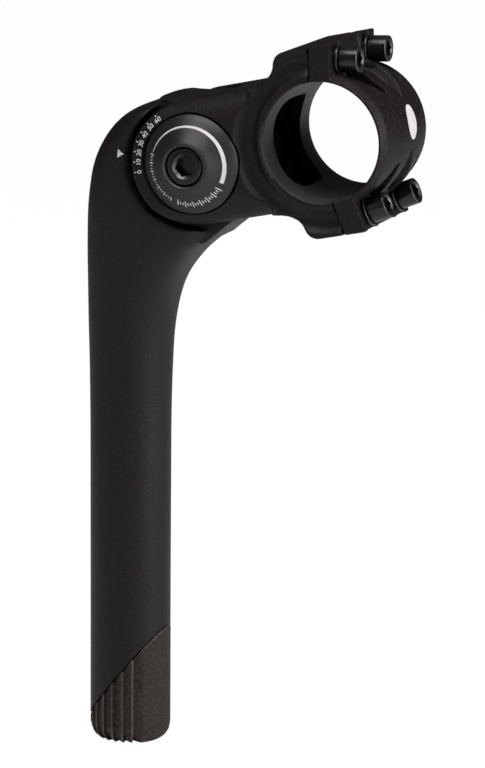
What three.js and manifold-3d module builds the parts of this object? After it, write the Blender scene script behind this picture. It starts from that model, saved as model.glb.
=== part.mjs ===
// Adjustable quill stem for a bicycle handlebar, in millimetres, +Z up along the steering axis.
// The origin is on the quill's axis at the foot of the expander wedge; +X points forward to the bar,
// and -Y is the side with the tilt scale. The arm's own frame starts at the pivot: +X along the arm,
// +Z square to it. All head pieces are made in that frame and turned as one group.
import * as THREE from "three";
import { mergeVertices } from "three/addons/utils/BufferGeometryUtils.js";
import Module from "manifold-3d";

// ---- driving dimensions -------------------------------------------------------------------
const GAP = 0.3; // between pieces that touch
const REACH = 60; // past every face, for cuts that go right through
const QUILL_R = 11.1; // 22.2 mm quill, for a 25.4 mm steerer
const BAR_R = 15.9; // 31.8 mm handlebar
const PIVOT = new THREE.Vector3(24.3, 0, 165);
const ARM_ANGLE = THREE.MathUtils.degToRad(12.5); // above level, at rest
const TILT_DOWN = THREE.MathUtils.degToRad(20); // lowest position, below rest
const ARM_LENGTH = 37; // pivot to bar centre

// quill body
const WEDGE_FOOT_Z = 19.5; // height of the slanted cut on the axis
const CUT_SLOPE = 1.24; // rise of the cut per mm forward
const KNUCKLE_R = 16.6;
const WEB_HALF = 11; // half width of the knuckle between the ears
const POCKET_R = 18.3; // cheek wall around each ear
const BOLT_SEAT_Z = 125;
const KEY_HOLE_R = 6.8;
const SHAFT_BORE_R = 4.6;
const PLUG_R = 6.4;
const PLUG_FOOT_Z = 157;
const CROWN_Z = 200; // above the top of the quill

// head
const EAR_R = 16.9;
const EAR_INNER = WEB_HALF + GAP;
const EAR_OUTER = 18.2;
const CLAMP_HALF = 17.8;
const CLAMP_BACK = 20; // where the clamp starts, along the arm
const SLOT_R = 19.6; // fork crotch, clear of the quill's shoulders at both ends of the tilt
const LUG_V = 24.9; // clamp lug faces, above and below the arm's centre line
const SPLIT_GAP = 0.4;
const BORE_CORNER_V = 15; // just inside the bore
const WINDOW_HALF = 11.2; // opening from the fork into the bar bore
const CAP_SEAT_R = 13.7;
const CAP_SEAT_Y = 14.3;

// faceplate and its screws
const FACE_R = 19.3;
const LUG_THICKNESS = 6; // in front of the split
const SCREW_TILT = THREE.MathUtils.degToRad(10); // the screws lean towards the arm's line, forwards
const SCREW_AT_SPLIT = { u: 37.9, v: 21.3 };
const SCREW_Y = 11.5;
const SCREW_HOLE_DEPTH = 2.8; // behind the split
const VALLEY_R = 4.5; // room sunk in the plate's front for each screw head
const SCREW = { shank: 2.5, length: 9.5, headR: 3.5, headLength: 5, hex: 4, socket: 2.5 };
const SCREW_WASHER = { inner: 2.8, outer: 4, thickness: 0.7 };

// tilt screw, its dial cap and its nut
const TILT_SCREW = { shank: 3, headR: 4.9, headInner: 18, headOuter: 22.8, end: 18.4, hex: 5 };
const TILT_SOCKET = 2.5; // depth of its hex
const PIN_R = 3.4; // clear hole for it in the ears and the cap
const CAP_R = 13.2;
const CAP_EDGE_Y = 17.8; // where the cap's and the nut's domes start
const CAP_LIP_Y = 23.4; // rim around the screw head
const NUT_FACE_Y = 19.6;
const SLEEVE = { inner: 3.35, outer: 5.4, half: 8.9 };
const TOOTH_RING = { inner: 6, outer: 9.4, thickness: 1.4, teeth: 20, depth: 0.5 };

// expander
const EXPANDER = { shank: 4, headR: 6.3, headLength: 8, end: 2, hex: 6, socket: 4.5 };
const EXPANDER_WASHER = { outer: 6.4, thickness: 1.2 };
const WEDGE_CHAMFER = 1.2;
const WEDGE_TRAVEL_X = 1.05;

// ---- solids -------------------------------------------------------------------------------
const wasm = await Module();
wasm.setup();

function solid(geometry) {
  const bare = geometry.clone();
  bare.deleteAttribute("normal");
  bare.deleteAttribute("uv");
  const merged = mergeVertices(bare, 1e-4);
  return new wasm.Manifold(
    new wasm.Mesh({
      numProp: 3,
      vertProperties: merged.attributes.position.array,
      triVerts: new Uint32Array(merged.index.array),
    }),
  );
}

function geometryOf(body) {
  const mesh = body.getMesh();
  const geometry = new THREE.BufferGeometry();
  geometry.setAttribute("position", new THREE.BufferAttribute(mesh.vertProperties, 3));
  geometry.setIndex(new THREE.BufferAttribute(mesh.triVerts, 1));
  const flat = geometry.toNonIndexed();
  flat.computeVertexNormals();
  return flat;
}

const join = (...bodies) => bodies.reduce((a, b) => a.add(b));
const cut = (body, ...tools) => tools.reduce((a, b) => a.subtract(b), body);

// A rod along Y from y0 to y1, centred on (x, z).
function rodY(radius, y0, y1, x = 0, z = 0, sides = 40) {
  const g = new THREE.CylinderGeometry(radius, radius, y1 - y0, sides);
  return solid(g.translate(x, (y0 + y1) / 2, z));
}

// A rod along Z from z0 to z1, centred on (x, y).
function rodZ(radius, z0, z1, x = 0, y = 0, sides = 40) {
  const g = new THREE.CylinderGeometry(radius, radius, z1 - z0, sides).rotateX(Math.PI / 2);
  return solid(g.translate(x, y, (z0 + z1) / 2));
}

// Moves a geometry made about a clamp screw's axis, from the split forwards along X, to its screw:
// y is the screw's side, and up is +1 above the bar and -1 below it.
function onScrew(geometry, y, up) {
  const { u, v } = SCREW_AT_SPLIT;
  return solid(geometry.rotateY(up * SCREW_TILT).translate(u, y, up * v));
}

function rodOnScrew(radius, from, to, y, up, sides = 20) {
  const g = new THREE.CylinderGeometry(radius, radius, to - from, sides).rotateZ(Math.PI / 2);
  return onScrew(g.translate((from + to) / 2, 0, 0), y, up);
}

function block(x0, x1, y0, y1, z0, z1) {
  const g = new THREE.BoxGeometry(x1 - x0, y1 - y0, z1 - z0);
  return solid(g.translate((x0 + x1) / 2, (y0 + y1) / 2, (z0 + z1) / 2));
}

// A shape drawn in X and Z, as thick as y0 to y1.
function plate(shape, y0, y1, curveSegments = 10) {
  const g = new THREE.ExtrudeGeometry(shape, { depth: y1 - y0, bevelEnabled: false, curveSegments });
  return solid(g.rotateX(Math.PI / 2).translate(0, y1, 0));
}

// A turned piece about the Y axis; points are [radius, y], and start and end on the axis or close.
function turned(points, sides = 40) {
  return solid(new THREE.LatheGeometry(points.map(([r, y]) => new THREE.Vector2(r, y)), sides));
}

// A hex socket about the Y axis, sunk by its depth either side of the face it is centred on.
function hexSocket(acrossFlats, depth) {
  const corner = acrossFlats / Math.sqrt(3);
  return new THREE.CylinderGeometry(corner, corner, 2 * depth, 6);
}

// ---- quill body ---------------------------------------------------------------------------
// Heights and offsets are from the pivot. Each row is height, rear X, front X, half width and
// how square the section is (2 is an ellipse).
const QUILL_SECTIONS = [
  [-166, -QUILL_R, QUILL_R, QUILL_R, 2],
  [-80, -QUILL_R, QUILL_R, QUILL_R, 2],
  [-60, -QUILL_R, 11.3, 11.5, 2.1],
  [-46, -11, 12, 12.6, 2.3],
  [-35, -10.6, 14.6, 14, 2.6],
  [-27, -10.2, 20, 15.2, 3],
  [-20, -9.7, 27.6, 16.4, 3.4],
  [-14, -9.2, 31, 17.2, 3.6],
  [-8, -8.4, 31, 17.7, 3.6],
  [-3, -7.4, 31, 17.8, 3.6],
  [2, -5.4, 31, 17.8, 3.6],
  [6.5, -2.6, 31, 17.6, 3.6],
  [10, 0.2, 30, 17, 3.6],
  [13, 3.6, 28, 15.8, 3.6],
  [15, 7.4, 26, 13.6, 3.4],
  [16, 11.6, 24, 10.8, 3],
];

function quillOutside() {
  const around = 36;
  const rows = QUILL_SECTIONS.length;
  const g = new THREE.CylinderGeometry(1, 1, rows - 1, around, rows - 1).rotateX(Math.PI / 2);
  const p = g.attributes.position;
  for (let i = 0; i < p.count; i++) {
    const row = Math.round(p.getZ(i) + (rows - 1) / 2);
    const [z, rear, front, half, square] = QUILL_SECTIONS[row];
    const bend = (v) => Math.sign(v) * Math.abs(v) ** (2 / square);
    const x = (rear + front) / 2 + ((front - rear) / 2) * bend(p.getX(i));
    p.setXYZ(i, x, half * bend(p.getY(i)), PIVOT.z + z);
  }
  return solid(g);
}

// The knuckle's side view: a disc about the pivot with its root in the quill.
function knuckleShape() {
  const s = new THREE.Shape();
  const a0 = THREE.MathUtils.degToRad(-58);
  const a1 = THREE.MathUtils.degToRad(124);
  s.absarc(PIVOT.x, PIVOT.z, KNUCKLE_R, a0, a1, false);
  s.lineTo(PIVOT.x - 10.9, PIVOT.z + 15.4);
  s.lineTo(PIVOT.x - 14, PIVOT.z);
  s.lineTo(PIVOT.x - 6, PIVOT.z - 22);
  s.lineTo(PIVOT.x + 1, PIVOT.z - 22.6);
  s.lineTo(PIVOT.x + 8.9, PIVOT.z - 16);
  return s;
}

// All that lies above the slanted cut, set off from it by a given distance along Z.
function aboveCut(offset) {
  const z = (x) => WEDGE_FOOT_Z + CUT_SLOPE * x + offset;
  const top = 2 * CROWN_Z;
  const s = new THREE.Shape();
  s.moveTo(-REACH, z(-REACH)).lineTo(REACH, z(REACH)).lineTo(REACH, top).lineTo(-REACH, top);
  return plate(s, -REACH, REACH);
}

// Where the ears and the arm's underside pass, on one side, down to the lowest tilt.
function earPocket(y0, y1) {
  const down = ARM_ANGLE - TILT_DOWN;
  const sweep = new THREE.BoxGeometry(REACH, y1 - y0, 2 * POCKET_R);
  sweep.translate(REACH / 2, (y0 + y1) / 2, 0).rotateY(-down).translate(PIVOT.x, 0, PIVOT.z);
  return join(rodY(POCKET_R, y0, y1, PIVOT.x, PIVOT.z, 64), solid(sweep));
}

const outside = quillOutside();

function quillBody() {
  const wide = cut(outside, earPocket(WEB_HALF, REACH), earPocket(-REACH, -WEB_HALF));
  const front = block(PIVOT.x - 3, 2 * REACH, -REACH, REACH, PIVOT.z - 12, CROWN_Z);
  const body = join(cut(wide, front), plate(knuckleShape(), -WEB_HALF, WEB_HALF, 24));
  const rings = [1, -1].map((side) => ringPocket(side, PIVOT.x, PIVOT.z, WEB_HALF, -1));
  return cut(
    body.intersect(aboveCut(0)),
    rodZ(SHAFT_BORE_R, -GAP, BOLT_SEAT_Z + 1, 0, 0, 32),
    rodZ(KEY_HOLE_R, BOLT_SEAT_Z, CROWN_Z, 0, 0, 40),
    rodY(SLEEVE.outer + GAP, -REACH, REACH, PIVOT.x, PIVOT.z, 32),
    ...rings,
  );
}

// ---- expander -----------------------------------------------------------------------------
function expanderBolt() {
  const under = BOLT_SEAT_Z + EXPANDER_WASHER.thickness + 2 * GAP;
  const top = under + EXPANDER.headLength;
  const socket = hexSocket(EXPANDER.hex, EXPANDER.socket).rotateX(Math.PI / 2).translate(0, 0, top);
  return cut(
    join(rodZ(EXPANDER.shank, EXPANDER.end, under + 1, 0, 0, 32), rodZ(EXPANDER.headR, under, top)),
    solid(socket),
  );
}

function expanderWasher() {
  const z = BOLT_SEAT_Z + GAP;
  const { outer, thickness } = EXPANDER_WASHER;
  return cut(rodZ(outer, z, z + thickness), rodZ(EXPANDER.shank + GAP, z - 1, z + thickness + 1));
}

function expanderWedge() {
  const points = [
    [0, 0],
    [QUILL_R - WEDGE_CHAMFER, 0],
    [QUILL_R, WEDGE_CHAMFER],
    [QUILL_R, REACH],
    [0, REACH],
  ];
  const blank = new THREE.LatheGeometry(points.map(([r, z]) => new THREE.Vector2(r, z)), 48);
  const gapAlongZ = GAP * Math.hypot(1, CUT_SLOPE);
  const hole = EXPANDER.shank + GAP;
  const slot = join(
    rodZ(hole, -1, REACH, 0, 0, 32),
    rodZ(hole, -1, REACH, -WEDGE_TRAVEL_X, 0, 32),
    block(-WEDGE_TRAVEL_X, 0, -hole, hole, -1, REACH),
  );
  return cut(solid(blank.rotateX(Math.PI / 2)), aboveCut(-gapAlongZ), slot);
}

// The rubber plug over the key hole, flush with the crown of the quill.
function keyHolePlug() {
  return rodZ(PLUG_R, PLUG_FOOT_Z, CROWN_Z).intersect(outside);
}

// ---- head, in the arm's frame -------------------------------------------------------------
// The clamp's split at a height above or below the arm's line, square to the clamp screws.
function splitAt(v, offset) {
  const lean = Math.tan(SCREW_TILT) * (Math.abs(v) - SCREW_AT_SPLIT.v);
  return [SCREW_AT_SPLIT.u + lean + offset, v];
}

function headShape() {
  const back = -SPLIT_GAP / 2;
  const s = new THREE.Shape();
  s.moveTo(...splitAt(LUG_V, back));
  s.lineTo(31.4, LUG_V);
  s.quadraticCurveTo(29.4, LUG_V, 28.7, 23.2);
  s.lineTo(27.3, 21);
  s.quadraticCurveTo(25.4, 17.7, 20, 17.1);
  s.lineTo(8, EAR_R);
  s.lineTo(1, EAR_R);
  s.absarc(0, 0, EAR_R, Math.PI / 2, (3 * Math.PI) / 2, false);
  s.lineTo(20, -17.1);
  s.quadraticCurveTo(25.4, -17.7, 27.3, -21);
  s.lineTo(28.7, -23.2);
  s.quadraticCurveTo(29.4, -LUG_V, 31.4, -LUG_V);
  s.lineTo(...splitAt(-LUG_V, back));
  s.lineTo(...splitAt(-BORE_CORNER_V, back));
  s.lineTo(...splitAt(BORE_CORNER_V, back));
  return s;
}

// A recess for a toothed ring, in a wall whose face is at y = side * wall.
function ringPocket(side, x, z, wall, inwards) {
  const depth = TOOTH_RING.thickness + GAP;
  const a = side * (wall - inwards * GAP);
  const b = side * (wall + inwards * depth);
  return rodY(TOOTH_RING.outer + GAP, Math.min(a, b), Math.max(a, b), x, z, 48);
}

function head() {
  const sides = [1, -1];
  const wide = plate(headShape(), -EAR_OUTER, EAR_OUTER, 24);
  const trims = sides.map((s) => {
    const [near, far] = [CLAMP_HALF * s, REACH * s];
    return block(CLAMP_BACK, REACH, Math.min(near, far), Math.max(near, far), -REACH, REACH);
  });
  const seats = sides.map((s) => {
    const [near, far] = [CAP_SEAT_Y * s, REACH * s];
    return rodY(CAP_SEAT_R, Math.min(near, far), Math.max(near, far), 0, 0, 56);
  });
  const rings = sides.map((s) => ringPocket(s, 0, 0, EAR_INNER, 1));
  const slot = join(
    rodY(SLOT_R, -EAR_INNER, EAR_INNER, 0, 0, 48),
    block(-REACH, 0, -EAR_INNER, EAR_INNER, -REACH, REACH),
    block(0, ARM_LENGTH - 11, -EAR_INNER, EAR_INNER, -WINDOW_HALF, WINDOW_HALF),
  );
  const threads = sides.flatMap((sy) =>
    sides.map((up) => rodOnScrew(SCREW.shank + GAP, -SCREW_HOLE_DEPTH, REACH, sy * SCREW_Y, up)),
  );
  const bore = rodY(BAR_R, -REACH, REACH, ARM_LENGTH, 0, 60);
  const pin = rodY(PIN_R, -REACH, REACH, 0, 0, 28);
  return cut(wide, bore, slot, pin, ...trims, ...seats, ...rings, ...threads);
}

// ---- faceplate ----------------------------------------------------------------------------
function faceShape() {
  const front = SPLIT_GAP / 2;
  const lean = (v) => LUG_THICKNESS / Math.cos(SCREW_TILT) + splitAt(v, 0)[0];
  const meet = THREE.MathUtils.degToRad(70.5);
  const s = new THREE.Shape();
  s.moveTo(...splitAt(-LUG_V, front));
  s.lineTo(lean(-LUG_V), -LUG_V);
  s.absarc(ARM_LENGTH, 0, FACE_R, -meet, meet, false);
  s.lineTo(lean(LUG_V), LUG_V);
  s.lineTo(...splitAt(LUG_V, front));
  s.lineTo(...splitAt(BORE_CORNER_V, front));
  s.lineTo(...splitAt(-BORE_CORNER_V, front));
  return s;
}

function faceplate() {
  const bore = rodY(BAR_R, -REACH, REACH, ARM_LENGTH, 0, 60);
  const holes = [-1, 1].flatMap((sy) =>
    [-1, 1].map((up) => rodOnScrew(SCREW.shank + GAP, -1, REACH, sy * SCREW_Y, up)),
  );
  const valleys = [-1, 1].flatMap((sy) =>
    [-1, 1].map((up) => rodOnScrew(VALLEY_R, LUG_THICKNESS, REACH, sy * SCREW_Y, up, 32)),
  );
  return cut(plate(faceShape(), -CLAMP_HALF, CLAMP_HALF, 24), bore, ...holes, ...valleys);
}

// ---- screws and washers -------------------------------------------------------------------
const washerFront = LUG_THICKNESS + GAP + SCREW_WASHER.thickness;

function clampScrew(y, up) {
  const under = washerFront + GAP;
  const top = under + SCREW.headLength;
  const socket = hexSocket(SCREW.hex, SCREW.socket).rotateZ(Math.PI / 2).translate(top, 0, 0);
  const shank = rodOnScrew(SCREW.shank, under - SCREW.length, under + 1, y, up);
  const head = rodOnScrew(SCREW.headR, under, top, y, up, 24);
  return cut(join(shank, head), onScrew(socket, y, up));
}

function clampWasher(y, up) {
  const back = washerFront - SCREW_WASHER.thickness;
  const disc = rodOnScrew(SCREW_WASHER.outer, back, washerFront, y, up, 24);
  return cut(disc, rodOnScrew(SCREW_WASHER.inner, back - 1, washerFront + 1, y, up));
}

function tiltScrew() {
  const { shank, headR, headInner, headOuter, end, hex } = TILT_SCREW;
  const socket = hexSocket(hex, TILT_SOCKET).translate(0, -headOuter, 0);
  return cut(
    join(rodY(shank, -headInner - 1, end, 0, 0, 28), rodY(headR, -headOuter, -headInner)),
    solid(socket),
  );
}

function tiltCap() {
  const well = TILT_SCREW.headR + 0.5;
  const seat = -CAP_SEAT_Y - GAP;
  const under = -TILT_SCREW.headInner + GAP;
  return turned([
    [PIN_R, seat],
    [PIN_R, under],
    [well, under],
    [well, -CAP_LIP_Y],
    [well + 0.8, -CAP_LIP_Y],
    [8, -21.9],
    [10.3, -20.1],
    [CAP_R - GAP, -CAP_EDGE_Y - GAP],
    [CAP_R, -CAP_EDGE_Y],
    [CAP_R, seat],
    [PIN_R, seat],
  ]);
}

function tiltNut() {
  const thread = TILT_SCREW.shank + GAP;
  return turned([
    [thread, NUT_FACE_Y],
    [thread, CAP_SEAT_Y + GAP],
    [CAP_R, CAP_SEAT_Y + GAP],
    [CAP_R, CAP_EDGE_Y],
    [CAP_R - GAP, CAP_EDGE_Y + GAP],
    [9, 19.4],
    [6, NUT_FACE_Y],
    [thread, NUT_FACE_Y],
  ]);
}

function pivotSleeve() {
  const { inner, outer, half } = SLEEVE;
  return cut(rodY(outer, -half, half, 0, 0, 32), rodY(inner, -half - 1, half + 1, 0, 0, 28));
}

// A locking ring with radial grooves; y is its toothed face and facing is +1 or -1 along Y.
function toothRing(y, facing) {
  const { inner, outer, thickness, teeth, depth } = TOOTH_RING;
  const back = y - facing * thickness;
  const ring = cut(
    rodY(outer, Math.min(y, back), Math.max(y, back), 0, 0, 30),
    rodY(inner, -REACH, REACH, 0, 0, 30),
  );
  const grooves = [];
  for (let i = 0; i < teeth; i++) {
    const groove = new THREE.CylinderGeometry(depth, depth, 8, 4).rotateZ(Math.PI / 2);
    groove.translate((inner + outer) / 2, 0, 0).rotateY((i / teeth) * 2 * Math.PI);
    grooves.push(solid(groove.translate(0, y, 0)));
  }
  return cut(ring, ...grooves);
}

// ---- materials ----------------------------------------------------------------------------
function finish(color, roughness, metalness) {
  return () => new THREE.MeshStandardMaterial({ color, roughness, metalness });
}
const blackCoat = finish(0x1b1a1b, 0.62, 0.25);
const blackScrew = finish(0x101012, 0.32, 0.6);
const darkSteel = finish(0x3a3532, 0.75, 0.7);
const brightSteel = finish(0x8d9094, 0.35, 1);
const rubber = finish(0x161616, 0.85, 0);

// ---- assembly -----------------------------------------------------------------------------
const stem = new THREE.Group();
const arm = new THREE.Group();
const pivot = new THREE.Group();
arm.position.copy(PIVOT);
arm.rotation.y = -ARM_ANGLE;
pivot.position.copy(PIVOT);
stem.add(arm, pivot);

function place(group, name, body, material) {
  const mesh = new THREE.Mesh(geometryOf(body), material());
  mesh.name = name;
  group.add(mesh);
}

place(stem, "quill_body", quillBody(), blackCoat);
place(stem, "expander_bolt", expanderBolt(), darkSteel);
place(stem, "expander_washer", expanderWasher(), brightSteel);
place(stem, "expander_wedge", expanderWedge(), darkSteel);
place(stem, "key_hole_plug", keyHolePlug(), rubber);
place(pivot, "pivot_sleeve", pivotSleeve(), brightSteel);
place(pivot, "knuckle_ring_near", toothRing(-WEB_HALF, -1), brightSteel);
place(pivot, "knuckle_ring_far", toothRing(WEB_HALF, 1), brightSteel);

place(arm, "head", head(), blackCoat);
place(arm, "ear_ring_near", toothRing(-EAR_INNER, 1), brightSteel);
place(arm, "ear_ring_far", toothRing(EAR_INNER, -1), brightSteel);
place(arm, "tilt_cap", tiltCap(), blackCoat);
place(arm, "tilt_screw", tiltScrew(), blackScrew);
place(arm, "tilt_nut", tiltNut(), blackCoat);
place(arm, "faceplate", faceplate(), blackCoat);
for (const [side, y] of [["near", -SCREW_Y], ["far", SCREW_Y]]) {
  for (const [row, up] of [["top", 1], ["bottom", -1]]) {
    place(arm, `clamp_screw_${row}_${side}`, clampScrew(y, up), blackScrew);
    place(arm, `clamp_washer_${row}_${side}`, clampWasher(y, up), blackScrew);
  }
}

export default stem;
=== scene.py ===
import math

import bpy
from mathutils import Matrix, Vector


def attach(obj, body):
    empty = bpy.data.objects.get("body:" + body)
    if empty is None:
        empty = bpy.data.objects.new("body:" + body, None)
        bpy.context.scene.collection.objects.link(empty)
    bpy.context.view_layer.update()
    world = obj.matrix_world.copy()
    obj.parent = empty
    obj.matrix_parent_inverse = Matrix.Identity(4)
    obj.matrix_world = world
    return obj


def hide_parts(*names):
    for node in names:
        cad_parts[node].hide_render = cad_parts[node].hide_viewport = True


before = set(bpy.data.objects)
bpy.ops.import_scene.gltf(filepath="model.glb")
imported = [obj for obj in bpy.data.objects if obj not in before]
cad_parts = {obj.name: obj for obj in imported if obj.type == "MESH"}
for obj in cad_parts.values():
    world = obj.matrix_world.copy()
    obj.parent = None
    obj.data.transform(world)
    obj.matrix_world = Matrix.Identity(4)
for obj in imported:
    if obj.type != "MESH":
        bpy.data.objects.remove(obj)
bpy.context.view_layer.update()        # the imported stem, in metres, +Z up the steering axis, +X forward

MM = 0.001

# ---- camera, floor and studio light --------------------------------------------------------
# A long lens a little above the stem, looking down on it; a pale floor lies under the stem in a
# white room, and large soft boxes light it from the right, from above and from the left.
AIM = Vector((32.4, 0.4, 102.7)) * MM
AZIMUTH, ELEVATION, ROLL = (math.radians(a) for a in (20.86, 12.51, 0.46))
CAMERA_DISTANCE = 1.0922
LENS = 189.53
FLOOR_Z = -0.0006
ROOM_LIGHT, ROOM_SEEN = 0.045, 1.0
FLOOR_GLOW_SHARE, FLOOR_GLOW = 0.93, 1.05
away = Vector((math.sin(AZIMUTH) * math.cos(ELEVATION), -math.cos(AZIMUTH) * math.cos(ELEVATION),
               math.sin(ELEVATION)))
bpy.ops.object.camera_add(location=AIM + away * CAMERA_DISTANCE)
camera = bpy.context.object
camera.data.lens = LENS
camera.data.clip_start = 0.05
look = away.to_track_quat("Z", "Y") @ Matrix.Rotation(ROLL, 3, "Z").to_quaternion()
camera.rotation_euler = look.to_euler()
bpy.context.scene.camera = camera


def softbox(name, place, towards, size, power, colour):
    """A rectangular area light that faces a point."""
    bpy.ops.object.light_add(type="AREA", location=place)
    lamp = bpy.context.object
    lamp.name = name
    lamp.data.shape = "RECTANGLE"
    lamp.data.size, lamp.data.size_y = size
    lamp.data.energy = power
    lamp.data.color = colour
    lamp.rotation_euler = (Vector(place) - Vector(towards)).to_track_quat("Z", "Y").to_euler()


softbox("box_right", (1.1, -0.12, 0.35), (0.03, 0, 0.1), (0.6, 1.0), 11, (1.0, 0.96, 0.97))
softbox("box_top", (0.1, -0.35, 1.1), (0.03, 0, 0.15), (1.0, 0.5), 9, (1.0, 0.96, 0.95))
softbox("box_left", (-0.9, -0.9, 0.35), (0.02, 0, 0.1), (0.6, 0.8), 1.3, (1.0, 0.93, 0.91))

world = bpy.data.worlds.new("studio")
bpy.context.scene.world = world
world.use_nodes = True
air = world.node_tree.nodes
sky = air["Background"]
sky.inputs["Color"].default_value = (1, 1, 1, 1)
seen = air.new("ShaderNodeLightPath")
level = air.new("ShaderNodeMapRange")
level.inputs["To Min"].default_value = ROOM_LIGHT
level.inputs["To Max"].default_value = ROOM_SEEN
world.node_tree.links.new(seen.outputs["Is Camera Ray"], level.inputs["Value"])
world.node_tree.links.new(level.outputs["Result"], sky.inputs["Strength"])
bpy.context.scene.view_settings.view_transform = "Standard"

bpy.ops.mesh.primitive_plane_add(size=6, location=(0, 0, FLOOR_Z))
floor = bpy.context.object
floor.name = "floor"
paper = bpy.data.materials.new("floor_paper")
paper.use_nodes = True
sheet, wires = paper.node_tree.nodes, paper.node_tree.links
sheet["Principled BSDF"].inputs["Base Color"].default_value = (0.9, 0.9, 0.9, 1)
sheet["Principled BSDF"].inputs["Roughness"].default_value = 0.8
glow, blend, eye = (sheet.new("ShaderNode" + kind) for kind in ("Emission", "MixShader", "LightPath"))
share = sheet.new("ShaderNodeMath")
share.operation = "MULTIPLY"
share.inputs[1].default_value = FLOOR_GLOW_SHARE
wires.new(eye.outputs["Is Camera Ray"], share.inputs[0])
wires.new(share.outputs["Value"], blend.inputs["Fac"])
wires.new(sheet["Principled BSDF"].outputs["BSDF"], blend.inputs[1])
wires.new(glow.outputs["Emission"], blend.inputs[2])
wires.new(blend.outputs["Shader"], sheet["Material Output"].inputs["Surface"])
glow.inputs["Strength"].default_value = FLOOR_GLOW
floor.data.materials.append(paper)

# ---- quill body ----------------------------------------------------------------------------
# One aluminium forging: a round 22.2 mm shaft that swells into a knuckle and two cheeks. It is
# drilled through for the expander bolt, milled for the ears and coated in fine matte black.
PIVOT = Vector((24.3, 0, 165))
QUILL_R = 11.1
KNUCKLE_R = 16.6
WEB_HALF = 11
REACH = 40
POCKET_R = 18.3
CUT_SLOPE = 1.24
CUT_AT_AXIS = 19.5
BOLT_BORE_R = 4.6
KEY_HOLE_R = 6.8
PIN_HOLE_R = 5.7
ARM_ANGLE = math.radians(12.5)
ARM = Matrix.Translation(PIVOT) @ Matrix.Rotation(-ARM_ANGLE, 4, "Y")
# height, rear and front of the section, half width, squareness; heights from the pivot
QUILL_SECTIONS = [
    (-166, -QUILL_R, QUILL_R, QUILL_R, 2),
    (-80, -QUILL_R, QUILL_R, QUILL_R, 2),
    (-60, -QUILL_R, 11.3, 11.5, 2.1),
    (-46, -11, 12, 12.6, 2.3),
    (-35, -10.6, 14.6, 14, 2.6),
    (-27, -10.2, 20, 15.2, 3),
    (-20, -9.7, 27.6, 16.4, 3.4),
    (-14, -9.2, 31, 17.2, 3.6),
    (-8, -8.4, 31, 17.7, 3.6),
    (-3, -7.4, 31, 17.8, 3.6),
    (2, -5.4, 31, 17.8, 3.6),
    (6.5, -2.6, 31, 17.6, 3.6),
    (9.6, 0.2, 29.5, 17, 3.6),
    (12.2, 3.8, 27, 15.8, 3.6),
    (14.0, 8.0, 24.4, 13.6, 3.4),
    (14.7, 12.0, 21.5, 10.8, 3),
]


def clear():
    bpy.ops.object.select_all(action="DESELECT")


def pick(piece):
    clear()
    piece.select_set(True)
    bpy.context.view_layer.objects.active = piece


def edit_all(piece, *steps):
    """Runs edit-mode steps on the whole of a piece."""
    pick(piece)
    bpy.ops.object.mode_set(mode="EDIT")
    bpy.ops.mesh.select_all(action="SELECT")
    for step in steps:
        step()
    bpy.ops.object.mode_set(mode="OBJECT")


def right_way_out(piece):
    edit_all(piece, lambda: bpy.ops.mesh.remove_doubles(threshold=0.002),
             lambda: bpy.ops.mesh.normals_make_consistent(inside=False))


def boolean(piece, tool, operation):
    pick(piece)
    step = piece.modifiers.new("boolean", "BOOLEAN")
    step.operation = operation
    step.solver = "MANIFOLD"
    step.object = tool
    bpy.ops.object.modifier_apply(modifier=step.name)
    bpy.data.objects.remove(tool)
    return piece


def cut(piece, *tools):
    for tool in tools:
        boolean(piece, tool, "DIFFERENCE")
    return piece


def weld(piece, *others):
    for other in others:
        boolean(piece, other, "UNION")
    return piece


def keep_inside(piece, tool):
    return boolean(piece, tool, "INTERSECT")


def ring_points(around):
    return [2 * math.pi * i / around for i in range(around)]


def loft(name, rows):
    """A closed skin through rings of points, extruded ring by ring from a filled circle."""
    clear()
    bpy.ops.mesh.primitive_circle_add(vertices=len(rows[0]), fill_type="NGON")
    piece = bpy.context.object
    piece.name = name
    for vertex, point in zip(piece.data.vertices, rows[0]):
        vertex.co = point
    for row in rows[1:]:
        bpy.ops.object.mode_set(mode="EDIT")
        bpy.ops.mesh.select_all(action="DESELECT")
        bpy.ops.object.mode_set(mode="OBJECT")
        count = len(row)
        total = len(piece.data.vertices)
        for vertex in piece.data.vertices[total - count:]:
            vertex.select = True
        piece.data.polygons[0 if total == count else top_face(piece, total - count)].select = True
        bpy.ops.object.mode_set(mode="EDIT")
        bpy.ops.mesh.extrude_region_move()
        bpy.ops.object.mode_set(mode="OBJECT")
        for vertex, point in zip(piece.data.vertices[-count:], row):
            vertex.co = point
    right_way_out(piece)
    return piece


def top_face(piece, first):
    return next(f.index for f in piece.data.polygons if min(f.vertices) >= first)


def plate(name, outline, low, high, plane="XZ"):
    """An outline drawn in X and Z and thickened along Y, or drawn in Y and Z and along X."""
    def at(point, depth):
        return (point[0], depth, point[1]) if plane == "XZ" else (depth, point[0], point[1])
    return loft(name, [[at(p, low) for p in outline], [at(p, high) for p in outline]])


def rod(name, radius, start, end, sides=96, tip=None):
    """A round rod or cone from one point to another."""
    start, end = Vector(start), Vector(end)
    clear()
    bpy.ops.mesh.primitive_cone_add(vertices=sides, radius1=radius, radius2=radius if tip is None else tip,
                                    depth=(end - start).length, location=(start + end) / 2,
                                    rotation=(end - start).to_track_quat("Z", "Y").to_euler())
    piece = bpy.context.object
    piece.name = name
    bpy.ops.object.transform_apply()
    return piece


def block(name, low, high):
    clear()
    low, high = Vector(low), Vector(high)
    bpy.ops.mesh.primitive_cube_add(size=1, location=(low + high) / 2, scale=high - low)
    piece = bpy.context.object
    piece.name = name
    bpy.ops.object.transform_apply()
    return piece


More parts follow.
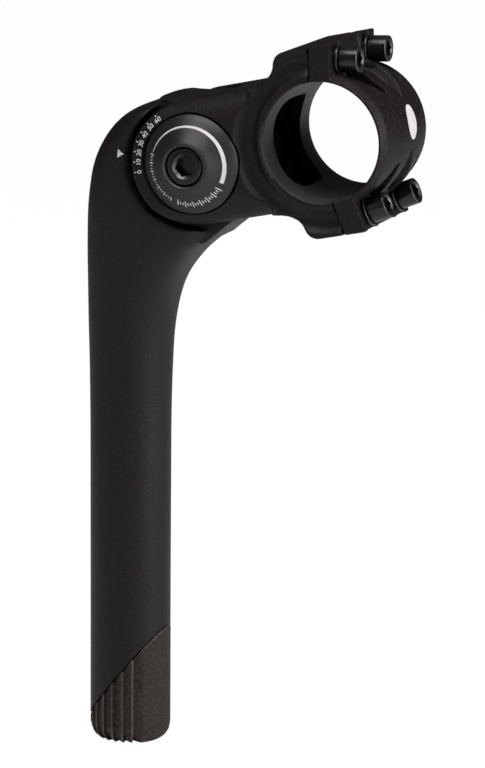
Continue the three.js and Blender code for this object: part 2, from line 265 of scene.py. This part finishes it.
def arc(radius, start, end, steps, centre=(0, 0)):
    angles = [math.radians(start + (end - start) * i / steps) for i in range(steps + 1)]
    return [(centre[0] + radius * math.cos(a), centre[1] + radius * math.sin(a)) for a in angles]


def bend(points, start, corner, end, steps=8):
    """Adds a smooth bend from start to end, pulled to a corner."""
    for i in range(steps + 1):
        t = i / steps
        points.append(tuple((1 - t) ** 2 * a + 2 * t * (1 - t) * b + t * t * c
                            for a, b, c in zip(start, corner, end)))


def forge(piece, grain, passes):
    """Melts the joins of a rough shape into the soft edges of a forging."""
    pick(piece)
    step = piece.modifiers.new("skin", "REMESH")
    step.mode = "VOXEL"
    step.voxel_size = grain
    bpy.ops.object.modifier_apply(modifier=step.name)
    step = piece.modifiers.new("soften", "SMOOTH")
    step.factor = 0.6
    step.iterations = passes
    bpy.ops.object.modifier_apply(modifier=step.name)


def settle(piece, body, slot, material, *nodes, matrix=None, smooth=30, painted_highlight_rims=None):
    """Brings a piece made in millimetres to its place in metres and puts it on its body.

    With a rim material, the broken edges of a piece turned about its own X get it as a painted highlight.
    """
    broken = [f.index for f in piece.data.polygons if 0.2 < abs(f.normal.x) < 0.95]
    if matrix is not None:
        piece.data.transform(matrix)
    piece.data.transform(Matrix.Scale(MM, 4))
    pick(piece)
    bpy.ops.object.shade_smooth_by_angle(angle=math.radians(smooth))
    piece.data.materials.clear()
    piece.data.materials.append(material)
    if painted_highlight_rims is not None:
        piece.data.materials.append(painted_highlight_rims)
        for index in broken:
            piece.data.polygons[index].material_index = 1
    if nodes:
        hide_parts(*nodes)
    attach(piece, body)


def between(sections, z):
    """The section at a height, on a smooth curve through the listed ones."""
    i = max(j for j in range(len(sections) - 1) if sections[j][0] <= z)
    s = [sections[min(max(k, 0), len(sections) - 1)] for k in (i - 1, i, i + 1, i + 2)]
    t = (z - s[1][0]) / (s[2][0] - s[1][0])
    out = []
    for v in range(1, 5):
        run = s[2][0] - s[1][0]
        m1 = (s[2][v] - s[0][v]) / max(s[2][0] - s[0][0], 1e-6) * run
        m2 = (s[3][v] - s[1][v]) / max(s[3][0] - s[1][0], 1e-6) * run
        out.append((2 * t**3 - 3 * t**2 + 1) * s[1][v] + (t**3 - 2 * t**2 + t) * m1
                   + (3 * t**2 - 2 * t**3) * s[2][v] + (t**3 - t**2) * m2)
    return out


def quill_outside(name):
    """The outside of the quill, through smooth sections; its crown runs on a little past the last."""
    heights = [-166, -120, -80] + [-78 + 2.0 * i for i in range(44)]
    heights += [10, 11.2, 12.4, 13.4, 14.2, 15, 15.6, 15.99]
    rows = []
    for z in heights:
        rear, front, half, square = between(QUILL_SECTIONS, z)
        row = []
        for a in ring_points(96):
            c, s = math.cos(a), math.sin(a)
            x = math.copysign(abs(c) ** (2 / square), c)
            y = math.copysign(abs(s) ** (2 / square), s)
            row.append(((rear + front) / 2 + (front - rear) / 2 * x, half * y, PIVOT.z + z))
        rows.append(row)
    return loft(name, rows)


def grain_group():
    """Fine powder-coat or cast grain: a height for a bump and a mask for patchy gloss."""
    group = bpy.data.node_groups.new("surface_grain", "ShaderNodeTree")
    face = group.interface
    face.new_socket("Scale", in_out="INPUT", socket_type="NodeSocketFloat").default_value = 2500
    face.new_socket("Patch Scale", in_out="INPUT", socket_type="NodeSocketFloat").default_value = 60
    face.new_socket("Height", in_out="OUTPUT", socket_type="NodeSocketFloat")
    face.new_socket("Patches", in_out="OUTPUT", socket_type="NodeSocketFloat")
    nodes, links = group.nodes, group.links
    enter, leave = nodes.new("NodeGroupInput"), nodes.new("NodeGroupOutput")
    place = nodes.new("ShaderNodeTexCoord")
    fine, patch = nodes.new("ShaderNodeTexNoise"), nodes.new("ShaderNodeTexNoise")
    fine.inputs["Detail"].default_value = 3
    patch.inputs["Detail"].default_value = 5
    for noise, size in ((fine, "Scale"), (patch, "Patch Scale")):
        links.new(place.outputs["Object"], noise.inputs["Vector"])
        links.new(enter.outputs[size], noise.inputs["Scale"])
    links.new(fine.outputs["Fac"], leave.inputs["Height"])
    spread = nodes.new("ShaderNodeMapRange")
    spread.inputs["From Min"].default_value, spread.inputs["From Max"].default_value = 0.34, 0.66
    links.new(patch.outputs["Fac"], spread.inputs["Value"])
    links.new(spread.outputs["Result"], leave.inputs["Patches"])
    return group


GRAIN = grain_group()


def wear_group():
    """A mask that is bright on convex edges, broken up by noise."""
    group = bpy.data.node_groups.new("edge_wear", "ShaderNodeTree")
    face = group.interface
    face.new_socket("Start", in_out="INPUT", socket_type="NodeSocketFloat").default_value = 0.53
    face.new_socket("End", in_out="INPUT", socket_type="NodeSocketFloat").default_value = 0.62
    face.new_socket("Mask", in_out="OUTPUT", socket_type="NodeSocketFloat")
    nodes, links = group.nodes, group.links
    enter, leave = nodes.new("NodeGroupInput"), nodes.new("NodeGroupOutput")
    shape = nodes.new("ShaderNodeNewGeometry")
    ramp = nodes.new("ShaderNodeMapRange")
    breakup = nodes.new("ShaderNodeTexNoise")
    place = nodes.new("ShaderNodeTexCoord")
    mix = nodes.new("ShaderNodeMath")
    mix.operation = "MULTIPLY"
    breakup.inputs["Scale"].default_value = 400
    links.new(place.outputs["Object"], breakup.inputs["Vector"])
    links.new(shape.outputs["Pointiness"], ramp.inputs["Value"])
    links.new(enter.outputs["Start"], ramp.inputs["From Min"])
    links.new(enter.outputs["End"], ramp.inputs["From Max"])
    links.new(ramp.outputs["Result"], mix.inputs[0])
    links.new(breakup.outputs["Fac"], mix.inputs[1])
    links.new(mix.outputs["Value"], leave.inputs["Mask"])
    return group


WEAR = wear_group()


def coated(name, dark, light, rough, bump, scale, specular, patch_scale=60, metallic=0.0, worn=None,
           wear=(0.53, 0.62)):
    """A coated or bare metal: patchy colour, patchy gloss, grain in its normal, rubbed edges."""
    material = bpy.data.materials.new(name)
    material.use_nodes = True
    nodes, links = material.node_tree.nodes, material.node_tree.links
    skin = nodes["Principled BSDF"]
    skin.inputs["Metallic"].default_value = metallic
    skin.inputs["Specular IOR Level"].default_value = specular
    grain = nodes.new("ShaderNodeGroup")
    grain.node_tree = GRAIN
    grain.inputs["Scale"].default_value = scale
    grain.inputs["Patch Scale"].default_value = patch_scale
    tone = nodes.new("ShaderNodeMix")
    tone.data_type = "RGBA"
    tone.inputs["A"].default_value = (*dark, 1)
    tone.inputs["B"].default_value = (*light, 1)
    links.new(grain.outputs["Patches"], tone.inputs["Factor"])
    edges = nodes.new("ShaderNodeGroup")
    edges.node_tree = WEAR
    edges.inputs["Start"].default_value, edges.inputs["End"].default_value = wear
    rubbed = nodes.new("ShaderNodeMix")
    rubbed.data_type = "RGBA"
    rubbed.inputs["B"].default_value = (*(worn or light), 1)
    links.new(edges.outputs["Mask"], rubbed.inputs["Factor"])
    links.new(tone.outputs["Result"], rubbed.inputs["A"])
    links.new(rubbed.outputs["Result"], skin.inputs["Base Color"])
    gloss = nodes.new("ShaderNodeMapRange")
    gloss.inputs["To Min"].default_value, gloss.inputs["To Max"].default_value = rough
    links.new(grain.outputs["Patches"], gloss.inputs["Value"])
    links.new(gloss.outputs["Result"], skin.inputs["Roughness"])
    relief = nodes.new("ShaderNodeBump")
    relief.inputs["Strength"].default_value = 1.0
    relief.inputs["Distance"].default_value = bump
    links.new(grain.outputs["Height"], relief.inputs["Height"])
    links.new(relief.outputs["Normal"], skin.inputs["Normal"])
    return material


BLACK_COAT = coated("black_powder_coat", (0.0056, 0.0040, 0.0039), (0.0120, 0.0092, 0.0090), (0.40, 0.52),
                    0.00016, 2000, patch_scale=1100, specular=0.24, worn=(0.028, 0.024, 0.023))

quill = quill_outside("quill_body_forging")
for side in (-1, 1):
    mouth = rod("mouth", POCKET_R, (PIVOT.x, side * WEB_HALF, PIVOT.z), (PIVOT.x, side * 40, PIVOT.z))
    lip = rod("lip", POCKET_R - 0.4, (PIVOT.x, side * 15.2, PIVOT.z), (PIVOT.x, side * 19.2, PIVOT.z),
              tip=POCKET_R + 2.4)
    low = min(side * WEB_HALF, side * 40)
    sweep = block("sweep", (0, low, -POCKET_R), (60, low + 29, POCKET_R))
    sweep.data.transform(Matrix.Translation(PIVOT) @ Matrix.Rotation(math.radians(7.5), 4, "Y"))
    cut(quill, mouth, lip, sweep)
cut(quill, block("front", (PIVOT.x - 3, -40, PIVOT.z - 12), (80, 40, PIVOT.z + 40)))
knuckle = arc(KNUCKLE_R, -58, 124, 60)
knuckle += [(-10.9, 15.4), (-14, 0), (-6, -22), (1, -22.6), (8.9, -16)]
knuckle = plate("knuckle", [(PIVOT.x + x, PIVOT.z + z) for x, z in knuckle], -WEB_HALF, WEB_HALF)
weld(quill, knuckle)
forge(quill, 0.5, 5)
foot = [(-REACH, -100), (REACH, -100),
        (REACH, CUT_AT_AXIS + CUT_SLOPE * REACH), (-REACH, CUT_AT_AXIS - CUT_SLOPE * REACH)]
cut(quill, plate("slant", foot, -REACH, REACH),
    rod("bore", BOLT_BORE_R, (0, 0, -5), (0, 0, 126)),
    rod("key_hole", KEY_HOLE_R, (0, 0, 125), (0, 0, 200)),
    rod("pin_hole", PIN_HOLE_R, (PIVOT.x, -REACH, PIVOT.z), (PIVOT.x, REACH, PIVOT.z)))
settle(quill, "quill", "black_coat", BLACK_COAT, "quill_body")

# ---- key-hole plug -------------------------------------------------------------------------
# A moulded rubber plug, pushed into the key hole on the crown of the quill. Its top follows the
# crown, so it sits flush with the forging.
PLUG_R = 6.4
RUBBER = coated("moulded_rubber", (0.014, 0.014, 0.014), (0.022, 0.021, 0.021), (0.62, 0.78), 0.00006, 1500,
                specular=0.3, worn=(0.03, 0.03, 0.03))
plug = keep_inside(rod("key_hole_rubber_plug", PLUG_R, (0, 0, 157), (0, 0, 200)), quill_outside("crown"))
forge(plug, 0.25, 3)
settle(plug, "plug", "rubber", RUBBER, "key_hole_plug")

# ---- expander wedge ------------------------------------------------------------------------
# A sintered steel plug the width of the quill, cut on the same slant. Saw ribs run down the side
# that is forced against the steerer, its foot is rounded off and its slant edge is chipped.
WEDGE_STEEL = coated("sintered_steel", (0.008, 0.0066, 0.0058), (0.042, 0.033, 0.028), (0.42, 0.75),
                     0.00045, 1300, patch_scale=1100, metallic=0.3, specular=0.4, worn=(0.24, 0.215, 0.20),
                     wear=(0.505, 0.56))
RIB_PITCH = 15.6
RIB_DEPTH = 0.95
FIRST_RIB = 48
TOE = 4.2
TOE_EXTRA_DEPTH = 0.5
TOE_LIFT = 1.6
WEDGE_GAP = 0.47
SLOT_R, SLOT_SHIFT = 4.3, 1.05


def turned(name, profile, sides, axis="Y", place=(0, 0, 0)):
    """A solid spun about an axis along Y or X, through rings of [radius, place along the axis]."""
    rows = []
    for radius, along in profile:
        ring = [(radius * math.cos(a), radius * math.sin(a)) for a in ring_points(sides)]
        row = [(p, along, q) if axis == "Y" else (along, p, q) for p, q in ring]
        rows.append([tuple(v + w for v, w in zip(point, place)) for point in row])
    return loft(name, rows)


wedge_rings = []
for along, z in [(0.50, 0), (0.80, 0.3), (0.90, 1.1), (0.97, 2.4), (1, TOE), (1, 45)]:
    ring = []
    for a in ring_points(720):
        from_front = math.degrees(math.acos(math.cos(a)))
        tooth = max(from_front - FIRST_RIB, 0) / RIB_PITCH % 1.0
        toe = 1 - min(z / TOE, 1)
        r = QUILL_R * along - (RIB_DEPTH + TOE_EXTRA_DEPTH * toe) * tooth
        ring.append((r * math.cos(a), r * math.sin(a), z + TOE_LIFT * tooth * min(toe, z)))
    wedge_rings.append(ring)
wedge = loft("wedge_with_ribs", wedge_rings)
slant = [(-REACH, CUT_AT_AXIS - CUT_SLOPE * REACH - WEDGE_GAP),
         (REACH, CUT_AT_AXIS + CUT_SLOPE * REACH - WEDGE_GAP),
         (REACH, 100), (-REACH, 100)]
cut(wedge, plate("slant", slant, -REACH, REACH))
forge(wedge, 0.2, 2)
wedge_slot = loft("slot", [[(SLOT_R * math.cos(a) - (SLOT_SHIFT if math.cos(a) < 0 else 0),
                             SLOT_R * math.sin(a), z) for a in ring_points(64)] for z in (-5, 60)])
cut(wedge, wedge_slot)
settle(wedge, "wedge", "wedge_steel", WEDGE_STEEL, "expander_wedge")

# ---- expander bolt and its washer ----------------------------------------------------------
# A zinc-plated M8 bolt down the middle of the quill, on a bare steel washer. Both keep the shape
# they have in the frame, as only the bolt's end and its socket can be seen.
ZINC = coated("dull_zinc_plate", (0.13, 0.127, 0.12), (0.22, 0.215, 0.205), (0.35, 0.5), 0.00004, 1800,
              metallic=1.0, specular=0.5, worn=(0.32, 0.31, 0.30))
BARE_STEEL = coated("bare_steel", (0.30, 0.30, 0.305), (0.42, 0.42, 0.43), (0.26, 0.42), 0.00003, 2400,
                    metallic=1.0, specular=0.5, worn=(0.55, 0.55, 0.55))


def dress(material, *names):
    """Gives CAD pieces that keep their own shape a material of this scene."""
    for name in names:
        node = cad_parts[name]
        node.data.materials.clear()
        node.data.materials.append(material)


dress(ZINC, "expander_bolt")
dress(BARE_STEEL, "expander_washer")

# ---- head ----------------------------------------------------------------------------------
# The arm is one aluminium forging: two fork ears behind, the rear half of the bar clamp in front.
# The ears are counterbored for the cap and the nut, and the fork opens through into the bar bore.
BAR_R = 15.9
ARM_LENGTH = 37
EAR_R = 16.9
EAR_OUTER = 18.2
EAR_INNER = 11.3
CLAMP_HALF = 17.8
LUG_V = 24.9
HALF_SPLIT = 0.2
SCREW_LEAN = math.radians(10)
SPLIT_U, SPLIT_V = 37.9, 21.3
SCREW_Y = 11.5
SCREW_HOLE_R = 2.8
SCREWS = {f"{row}_{side}": (Matrix.Translation((SPLIT_U, y, up * SPLIT_V))
                            @ Matrix.Rotation(up * SCREW_LEAN, 4, "Y"))
          for row, up in (("top", 1), ("bottom", -1)) for side, y in (("near", -SCREW_Y), ("far", SCREW_Y))}
GROOVE_R, GROOVE_ROUND, GROOVE_Y = 20.9, 3.7, 19.8
BORE_METAL = coated("machined_aluminium", (0.040, 0.037, 0.038), (0.066, 0.062, 0.063), (0.38, 0.55),
                    0.00003, 2200, metallic=0.4, specular=0.5, wear=(0.98, 1.0))


def side_tool(side, radius, near, far, tip=None, u=0.0):
    """A round cutter along Y on one side of the arm."""
    return rod("side_tool", radius, (u, side * near, 0), (u, side * far, 0), tip=tip, sides=128)


def split_at(v, off):
    """Where the clamp is split, square to its screws, at a height above or below the arm's line."""
    return (SPLIT_U + (abs(v) - SPLIT_V) * math.tan(SCREW_LEAN) + off, v)


def on_screw(piece, which):
    """Moves a cutter made along X, with the split at zero, to one of the clamp screws."""
    piece.data.transform(SCREWS[which])
    return piece


outline = [split_at(LUG_V, -HALF_SPLIT)]
lower = []
bend(lower, (19.5, -17.0), (25.0, -17.6), (27.2, -21.0), 12)
bend(lower, (28.3, -23.0), (29.2, -LUG_V), (31.8, -LUG_V))
outline += [(u, -v) for u, v in reversed(lower)] + [(8, EAR_R)] + arc(EAR_R, 88, 270, 72) + lower
outline += [split_at(v, -HALF_SPLIT) for v in (-LUG_V, -15, 15)]
head = plate("head_forging", outline, -EAR_OUTER, EAR_OUTER)
shoulder = [(9.5 + 8.7 * math.cos(math.radians(a)), 8.6 + 9.2 * math.sin(math.radians(a)))
            for a in range(0, 91, 9)]
shoulder += [(9.5, 30)]
right = [(y, -v) for y, v in reversed(shoulder)] + shoulder
arm_section = plate("arm_section", right + [(-y, -v) for y, v in right], -30, 22, plane="YZ")
weld(arm_section, block("clamp_width", (19.5, -CLAMP_HALF, -30), (40, CLAMP_HALF, 30)))
keep_inside(head, arm_section)
window = []
for corner_y, corner_v, turn in ((5.6, 7.2, 0), (-5.6, 7.2, 90), (-5.6, -7.2, 180), (5.6, -7.2, 270)):
    window += arc(4.6, turn, turn + 90, 8, centre=(corner_y, corner_v))
cut(head, rod("fork_floor", 19.6, (0, -EAR_INNER, 0), (0, EAR_INNER, 0), sides=128),
    block("fork", (-30, -EAR_INNER, -30), (0, EAR_INNER, 30)), plate("window", window, 0, 30, plane="YZ"))
for side in (-1, 1):
    clear()
    bpy.ops.mesh.primitive_torus_add(major_radius=GROOVE_R, minor_radius=GROOVE_ROUND,
                                     major_segments=128, minor_segments=32,
                                     location=(ARM_LENGTH, side * GROOVE_Y, 0), rotation=(math.pi / 2, 0, 0))
    groove = bpy.context.object
    bpy.ops.object.transform_apply()
    cut(head, groove)
forge(head, 0.42, 6)


def bore_out(piece):
    """Bores a clamp half for the bar and breaks the bore's edges."""
    cut(piece, rod("bore", BAR_R, (ARM_LENGTH, -REACH, 0), (ARM_LENGTH, REACH, 0), sides=192))
    for side in (-1, 1):
        cut(piece, side_tool(side, BAR_R - 0.1, CLAMP_HALF - 0.5, CLAMP_HALF + 1.5, tip=BAR_R + 1.9,
                             u=ARM_LENGTH))


def line_bore(piece):
    """Leaves the bar's seat bare, after the piece is settled."""
    piece.data.materials.append(BORE_METAL)
    to_arm = ARM.inverted()
    for face in piece.data.polygons:
        middle = to_arm @ (face.center / MM)
        out = Vector((middle.x - ARM_LENGTH, 0, middle.z))
        if out.length < BAR_R + 0.02:
            face.material_index = 1


bore_out(head)
for side in (-1, 1):
    cut(head, side_tool(side, 13.7, 14.3, 40), side_tool(side, 9.7, 9, 13), side_tool(side, 3.4, 5, 40),
        side_tool(side, 13.5, 17.4, 19.0, tip=14.5))
for which in SCREWS:
    cut(head, on_screw(rod("screw_hole", SCREW_HOLE_R, (-2.8, 0, 0), (20, 0, 0), sides=48), which))
settle(head, "head", "black_coat", BLACK_COAT, "head", matrix=ARM)
line_bore(head)

# ---- faceplate -----------------------------------------------------------------------------
# The front half of the clamp, forged with a crowned band and scooped above and below between
# thin ribs, so that the four screw heads sit in valleys.
LUG_THICK = 6
LUG_FACE = 43.6
LUG_ROOT_V = 14
SCREW_ROOM_R = 4.5
SIDE_FLOOR_R, MIDDLE_FLOOR_R = 16.8, 16.9
crowned = [(16.6, -17.8), (17.85, -15.6), (18.55, -12), (19.2, -8), (19.5, -4), (19.6, 0)]
crowned += [(r, -y) for r, y in reversed(crowned[:-1])]
faceplate = turned("faceplate_forging", crowned, 160, place=(ARM_LENGTH, 0, 0))
for up in (-1, 1):
    lug = [split_at(up * LUG_ROOT_V, 0), split_at(up * LUG_V, 0)]
    lug += [(u + LUG_THICK / math.cos(SCREW_LEAN), v) for u, v in reversed(lug)]
    weld(faceplate, plate("lug", lug, -CLAMP_HALF, CLAMP_HALF))
behind = [split_at(v, HALF_SPLIT) for v in (-40, -15, 15, 40)] + [(0, 40), (0, -40)]
cut(faceplate, plate("behind", behind, -30, 30))


def scoop(outline, floor):
    """Hollows out the front within an outline in Y and Z, down to a round floor."""
    tool = plate("scoop", outline, LUG_FACE, 70, plane="YZ")
    return cut(tool, rod("floor", floor, (ARM_LENGTH, -30, 0), (ARM_LENGTH, 30, 0), sides=128))


for up in (-1, 1):
    for side in (-1, 1):
        valley = [(side * 6.9, up * 8.4), (side * 8.1, up * 12.4), (side * 8.2, up * 16),
                  (side * 8, up * 30), (side * 15.2, up * 30), (side * 15.0, up * 18),
                  (side * 13.2, up * 14.2), (side * 9.4, up * 10.4)]
        cut(faceplate, scoop(valley, SIDE_FLOOR_R))
    middle = [(0, up * 6.6), (2.6, up * 10.2), (5.6, up * 15), (6.6, up * 20), (6.7, up * 30),
              (-6.7, up * 30), (-6.6, up * 20), (-5.6, up * 15), (-2.6, up * 10.2)]
    cut(faceplate, scoop(middle, MIDDLE_FLOOR_R))
for which in SCREWS:
    cut(faceplate, on_screw(rod("screw_room", SCREW_ROOM_R, (LUG_THICK, 0, 0), (30, 0, 0), sides=64), which))
forge(faceplate, 0.3, 2)
bore_out(faceplate)
for which in SCREWS:
    cut(faceplate, on_screw(rod("screw_hole", SCREW_HOLE_R, (-2, 0, 0), (20, 0, 0), sides=48), which))
settle(faceplate, "faceplate", "black_coat", BLACK_COAT, "faceplate", matrix=ARM)
line_bore(faceplate)

# ---- clamp screws and washers --------------------------------------------------------------
# Four M5 socket screws in glossy black oxide, each on a plain washer. The broken edges of their heads,
# sockets and washers are coloured a lighter oxide, which is a painted highlight where they catch the light.
BLACK_OXIDE = coated("black_oxide_steel", (0.008, 0.008, 0.0085), (0.017, 0.0165, 0.017), (0.20, 0.32),
                     0.00001, 2600, patch_scale=240, metallic=0.35, specular=0.6, wear=(0.98, 1.0))
# A lighter, more metallic oxide for the broken edges of screws and washers: a painted highlight, not wear.
OXIDE_PAINTED_HIGHLIGHT = coated("oxide_painted_highlight", (0.06, 0.058, 0.057), (0.14, 0.135, 0.13), (0.28, 0.42),
                      0.00001, 2600,
                      patch_scale=500, metallic=0.8, specular=0.5, wear=(0.98, 1.0))
HEAD_R, HEAD_START, HEAD_END = 3.5, 7.3, 12.3
SHANK_R, SHANK_END = 2.5, -2.2
WASHER_R, WASHER_START, WASHER_END = 4, 6.3, 7.0


def hexagon(across, low, high):
    """A hex cutter along X."""
    corner = across / math.sqrt(3)
    outline = [(corner * math.cos(a), corner * math.sin(a)) for a in ring_points(6)]
    return plate("hexagon", outline, low, high, plane="YZ")


def softened(radius, start, end, edge):
    """The profile of a rod whose two rims are rounded by an edge radius."""
    low = [(radius - edge + x, start + edge + y) for x, y in arc(edge, -90, 0, 5)]
    return low + [(radius - edge + x, end - edge + y) for x, y in arc(edge, 0, 90, 5)]


def socket_screw(name, head_profile, top, shank_r, shank_end, mouth, across, depth):
    """A cap screw along X with a chamfered hex socket."""
    screw = turned(name, head_profile, 96, axis="X")
    weld(screw, rod("shank", shank_r, (shank_end, 0, 0), (head_profile[0][1] + 1, 0, 0), sides=48))
    cut(screw, rod("mouth", mouth - 0.75, (top - 0.75, 0, 0), (top + 0.25, 0, 0), tip=mouth + 0.25),
        hexagon(across, top - depth, top + 1))
    return screw


for which, place in SCREWS.items():
    screw = socket_screw(f"clamp_screw_{which}_fine", softened(HEAD_R, HEAD_START, HEAD_END, 0.3), HEAD_END,
                         SHANK_R, SHANK_END, mouth=2.45, across=4, depth=2.6)
    settle(screw, f"clamp_screw_{which}", "black_screw", BLACK_OXIDE, f"clamp_screw_{which}",
           matrix=ARM @ place, painted_highlight_rims=OXIDE_PAINTED_HIGHLIGHT)
    washer = turned(f"clamp_washer_{which}_fine", softened(WASHER_R, WASHER_START, WASHER_END, 0.15), 64,
                    axis="X")
    cut(washer, rod("hole", SCREW_HOLE_R, (0, 0, 0), (12, 0, 0), sides=48))
    settle(washer, f"clamp_washer_{which}", "black_screw", BLACK_OXIDE, f"clamp_washer_{which}",
           matrix=ARM @ place, painted_highlight_rims=OXIDE_PAINTED_HIGHLIGHT)

# ---- tilt cap, tilt screw and nut ----------------------------------------------------------
# A turned and anodised cap sits in the near ear, with the M6 tilt screw sunk in its middle; the
# nut that the screw pulls on sits in the far ear.
ANODISED = coated("black_anodised", (0.018, 0.017, 0.018), (0.026, 0.025, 0.025), (0.36, 0.48),
                  0.00002, 3000, metallic=0.3, specular=0.5, worn=(0.05, 0.05, 0.05))
PIN_R = 3.4
WELL_R = 5.4
TILT_HEAD_R, TILT_HEAD_START, TILT_HEAD_END = 4.9, 18.0, 22.8
TILT_SHANK_END = -18.4
dome = [(-17.8, 13.2), (-18.1, 12.95), (-19.1, 11.5), (-20.3, 9.8), (-21.6, 8.2), (-22.6, 7.1), (-23.2, 6.5),
        (-23.4, 6.1)]
cap = turned("tilt_cap_turned", [(12.9, -14.6), (13.2, -14.9)] + [(r, y) for y, r in dome], 192)
cut(cap, rod("pin", PIN_R, (0, -10, 0), (0, -30, 0)),
    rod("well", WELL_R, (0, -17.7, 0), (0, -30, 0), sides=128),
    rod("well_rim", 5.3, (0, -23.0, 0), (0, -23.8, 0), sides=128, tip=6.1))
settle(cap, "tilt_cap", "black_coat", ANODISED, "tilt_cap", matrix=ARM, smooth=24)

TO_NEAR_SIDE = Matrix.Rotation(-math.pi / 2, 4, "Z")
screw = socket_screw("tilt_screw_fine", softened(TILT_HEAD_R, TILT_HEAD_START, TILT_HEAD_END, 0.5),
                     TILT_HEAD_END, 3, TILT_SHANK_END, mouth=3.3, across=5, depth=3)
# The lighter oxide on the broken edges of its head and socket is a painted highlight.
settle(screw, "tilt_screw", "black_screw", BLACK_OXIDE, "tilt_screw", matrix=ARM @ TO_NEAR_SIDE,
       painted_highlight_rims=OXIDE_PAINTED_HIGHLIGHT)

nut_dome = [(14.6, 12.9), (14.9, 13.2), (17.8, 13.2), (18.1, 12.95), (18.8, 11.2), (19.3, 9.2),
            (19.55, 7), (19.6, 6)]
nut = turned("tilt_nut_turned", [(r, y) for y, r in nut_dome], 160)
cut(nut, rod("thread", 3.3, (0, 10, 0), (0, 30, 0)),
    rod("thread_edge", 3.2, (0, 19.2, 0), (0, 20.0, 0), tip=4.0))
settle(nut, "head", "black_coat", ANODISED, "tilt_nut", matrix=ARM, smooth=24)

# ---- pivot sleeve and toothed rings --------------------------------------------------------
# A sleeve pressed through the knuckle, and two pairs of toothed rings that lock the tilt. All are
# bare steel and keep the shape they have in the frame, hidden between the ears.
dress(BARE_STEEL, "pivot_sleeve", "knuckle_ring_near", "knuckle_ring_far", "ear_ring_near", "ear_ring_far")

# ---- printed marks -------------------------------------------------------------------------
# Pad-printed in off-white: a tilt scale in tens round the ear, a pointer on the quill's cheek, an
# arc that thickens and a ring of plain ticks on the cap, and a plain oval badge on the faceplate.
INK = coated("white_ink", (0.62, 0.62, 0.62), (0.74, 0.74, 0.73), (0.45, 0.6), 0.00001, 2000,
             patch_scale=900, specular=0.3)
INK_DEPTH = 0.05
INK_LIFT = 0.03
PRINT_PLANE = -24


def printed(piece, target, body, direction=(False, True, False)):
    """Lays a flat mark that stands off a piece on to its surface, and gives it a thickness."""
    pick(piece)
    lay = piece.modifiers.new("lay", "SHRINKWRAP")
    lay.wrap_method = "PROJECT"
    lay.use_project_x, lay.use_project_y, lay.use_project_z = direction
    lay.use_positive_direction = lay.use_negative_direction = True
    lay.target = target
    lay.offset = INK_LIFT * MM
    bpy.ops.object.modifier_apply(modifier=lay.name)
    thick = piece.modifiers.new("thick", "SOLIDIFY")
    thick.thickness = INK_DEPTH * MM
    thick.offset = 1
    bpy.ops.object.modifier_apply(modifier=thick.name)
    piece.data.materials.clear()
    piece.data.materials.append(INK)
    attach(piece, body)


def patch(name, rows):
    """A flat sheet of quads through rows of points."""
    clear()
    bpy.ops.mesh.primitive_grid_add(x_subdivisions=len(rows[0]) - 1, y_subdivisions=len(rows) - 1)
    piece = bpy.context.object
    piece.name = name
    for vertex, point in zip(piece.data.vertices, [p for row in rows for p in row]):
        vertex.co = point
    return piece


def face_on(piece, place):
    """Moves a mark drawn in millimetres to its place in metres."""
    piece.data.transform(Matrix.Scale(MM, 4) @ place)


def merge(name, pieces):
    clear()
    for piece in pieces:
        piece.select_set(True)
    bpy.context.view_layer.objects.active = pieces[0]
    bpy.ops.object.join()
    pieces[0].name = name
    return pieces[0]


NUMBER_R = 14.7
scale = []
for number in range(0, 61, 10):
    angle = math.radians(179 - number)
    clear()
    bpy.ops.object.text_add()
    label = bpy.context.object
    label.data.body = str(number)
    label.data.size = 1.8
    label.data.offset = 0.03
    label.data.align_x = "CENTER"
    label.data.align_y = "CENTER"
    bpy.ops.object.convert(target="MESH")
    label = bpy.context.object
    spin = Matrix.Rotation(-(angle - math.pi / 2), 4, "Y")
    label.data.transform(spin @ Matrix.Translation((0, PRINT_PLANE, NUMBER_R))
                         @ Matrix.Rotation(math.pi / 2, 4, "X"))
    scale.append(label)
    scale.append(patch("tick", [[(math.cos(angle + d) * r, PRINT_PLANE, math.sin(angle + d) * r)
                                 for d in (-0.009, 0.009)] for r in (15.75, 16.25)]))
scale = merge("tilt_scale_numbers", scale)
face_on(scale, ARM)
printed(scale, head, "head")

pointer = []
for i in range(9):
    r, half = 19.4 + 1.8 * i / 8, 0.001 + 0.055 * i / 8
    pointer.append([(PIVOT.x + r * math.cos(a), PRINT_PLANE, PIVOT.z + r * math.sin(a))
                    for a in (math.radians(176) + half * (k / 4 - 1) for k in range(9))])
pointer = patch("tilt_pointer", pointer)
face_on(pointer, Matrix.Identity(4))
printed(pointer, quill, "quill")

CRESCENT_R = 10.3
MARK_R = 10.4
marks = []
crescent = []
for i in range(65):
    angle = math.radians(151 - 187 * i / 64)
    half = 0.08 + 0.42 * (i / 64) ** 0.8
    crescent.append([((CRESCENT_R + w) * math.cos(angle), PRINT_PLANE, (CRESCENT_R + w) * math.sin(angle))
                     for w in (-half, half)])
marks.append(patch("crescent", crescent))
for first, last, tall in ((-46, -118, 1.7), (-130, -205, 1.15)):
    for i in range(19):
        angle = math.radians(first + (last - first) * i / 18)
        half = tall / 2 * (1.0 if i % 3 == 0 else 0.45)
        marks.append(patch("mark", [[(r * math.cos(angle + d), PRINT_PLANE, r * math.sin(angle + d))
                                     for d in (-0.014, 0.014)]
                                    for r in (MARK_R - half, MARK_R, MARK_R + half)]))
marks = merge("tilt_cap_marks", marks)
face_on(marks, ARM)
printed(marks, cap, "tilt_cap")

rows = []
for i in range(41):
    along = i / 20 - 1
    v = 4.7 * along - 1.7
    half = max(3.1 * math.sqrt(1 - along * along), 0.02)
    rows.append([(64, half * (k / 6 - 1), v) for k in range(13)])
badge = patch("faceplate_badge", rows)
face_on(badge, ARM)
printed(badge, faceplate, "faceplate", direction=(True, False, False))
